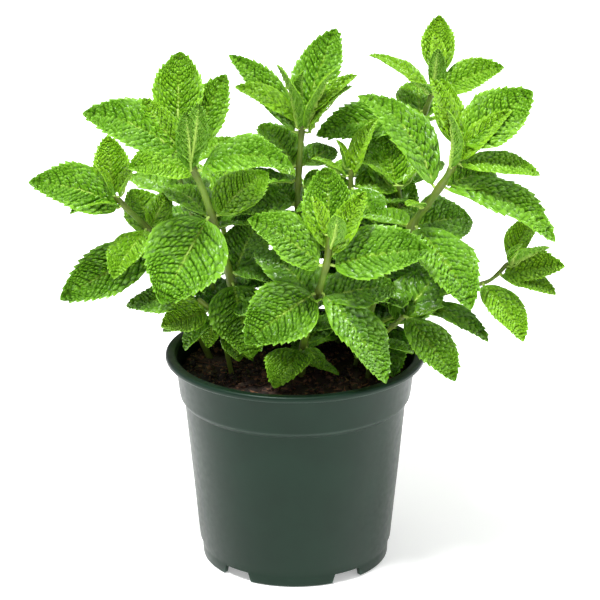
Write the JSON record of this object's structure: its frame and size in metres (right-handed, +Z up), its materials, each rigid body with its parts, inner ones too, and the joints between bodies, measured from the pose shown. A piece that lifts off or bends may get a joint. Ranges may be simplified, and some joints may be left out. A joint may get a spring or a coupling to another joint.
{
  "type": "potted mint plant",
  "caption": "Bushy mint plant in a round tapered nursery pot filled with soil, for a kitchen sill, a shelf or a garden bench.",
  "frame": {"origin": "the middle of the plant's plan, level with the undersides of the pot's feet; the pot's axis stands 23.5 mm in front of it and 1.6 mm to its left", "axes": "+Z up along the pot's axis, -Y towards the front of the plant, +X to its right"},
  "size_m": [0.3288, 0.2317, 0.3366],
  "materials": {
    "pot": "satin moulded plastic, dark grey green",
    "soil": "damp crumbly potting soil with bark fibres",
    "stem": "soft green stem, purple brown near its leaf nodes",
    "leaf": "quilted mint leaf with a soft sheen"
  },
  "bodies": {
    "root": {"pot": "pot", "soil": "soil", "stem_left": "stem", "leaf_left_1": "leaf", "leaf_left_2": "leaf", "leaf_left_3": "leaf", "leaf_left_4": "leaf", "leaf_left_5": "leaf", "leaf_left_6": "leaf", "leaf_left_7": "leaf", "leaf_left_8": "leaf", "stem_left_rear": "stem", "stem_far_left": "stem", "leaf_far_left_1": "leaf", "leaf_far_left_2": "leaf", "leaf_far_left_3": "leaf", "leaf_far_left_4": "leaf", "stem_rear_middle": "stem", "leaf_rear_middle_1": "leaf", "leaf_rear_middle_2": "leaf", "leaf_rear_middle_3": "leaf", "stem_front": "stem", "leaf_front_1": "leaf", "leaf_front_2": "leaf", "leaf_front_3": "leaf", "leaf_front_4": "leaf", "leaf_front_5": "leaf", "leaf_front_6": "leaf", "stem_middle_right": "stem", "stem_rear_right": "stem", "leaf_rear_right_1": "leaf", "leaf_rear_right_2": "leaf", "stem_right": "stem", "leaf_right_1": "leaf", "leaf_right_2": "leaf", "leaf_right_3": "leaf", "leaf_right_4": "leaf", "leaf_right_5": "leaf", "leaf_right_6": "leaf", "stem_top_right": "stem", "leaf_top_right_1": "leaf", "leaf_top_right_2": "leaf", "leaf_top_right_3": "leaf", "leaf_top_right_4": "leaf", "stem_far_right": "stem", "leaf_far_right_1": "leaf", "leaf_far_right_2": "leaf", "leaf_far_right_3": "leaf", "stem_low_right": "stem", "leaf_low_right_1": "leaf", "stem_low_left": "stem", "leaf_low_left_1": "leaf", "stem_back_left": "stem", "leaf_back_left_1": "leaf", "leaf_back_left_2": "leaf", "stem_back": "stem", "leaf_back_1": "leaf", "stem_back_right": "stem", "leaf_back_right_1": "leaf", "leaf_back_right_2": "leaf"}
  },
  "joints": []
}
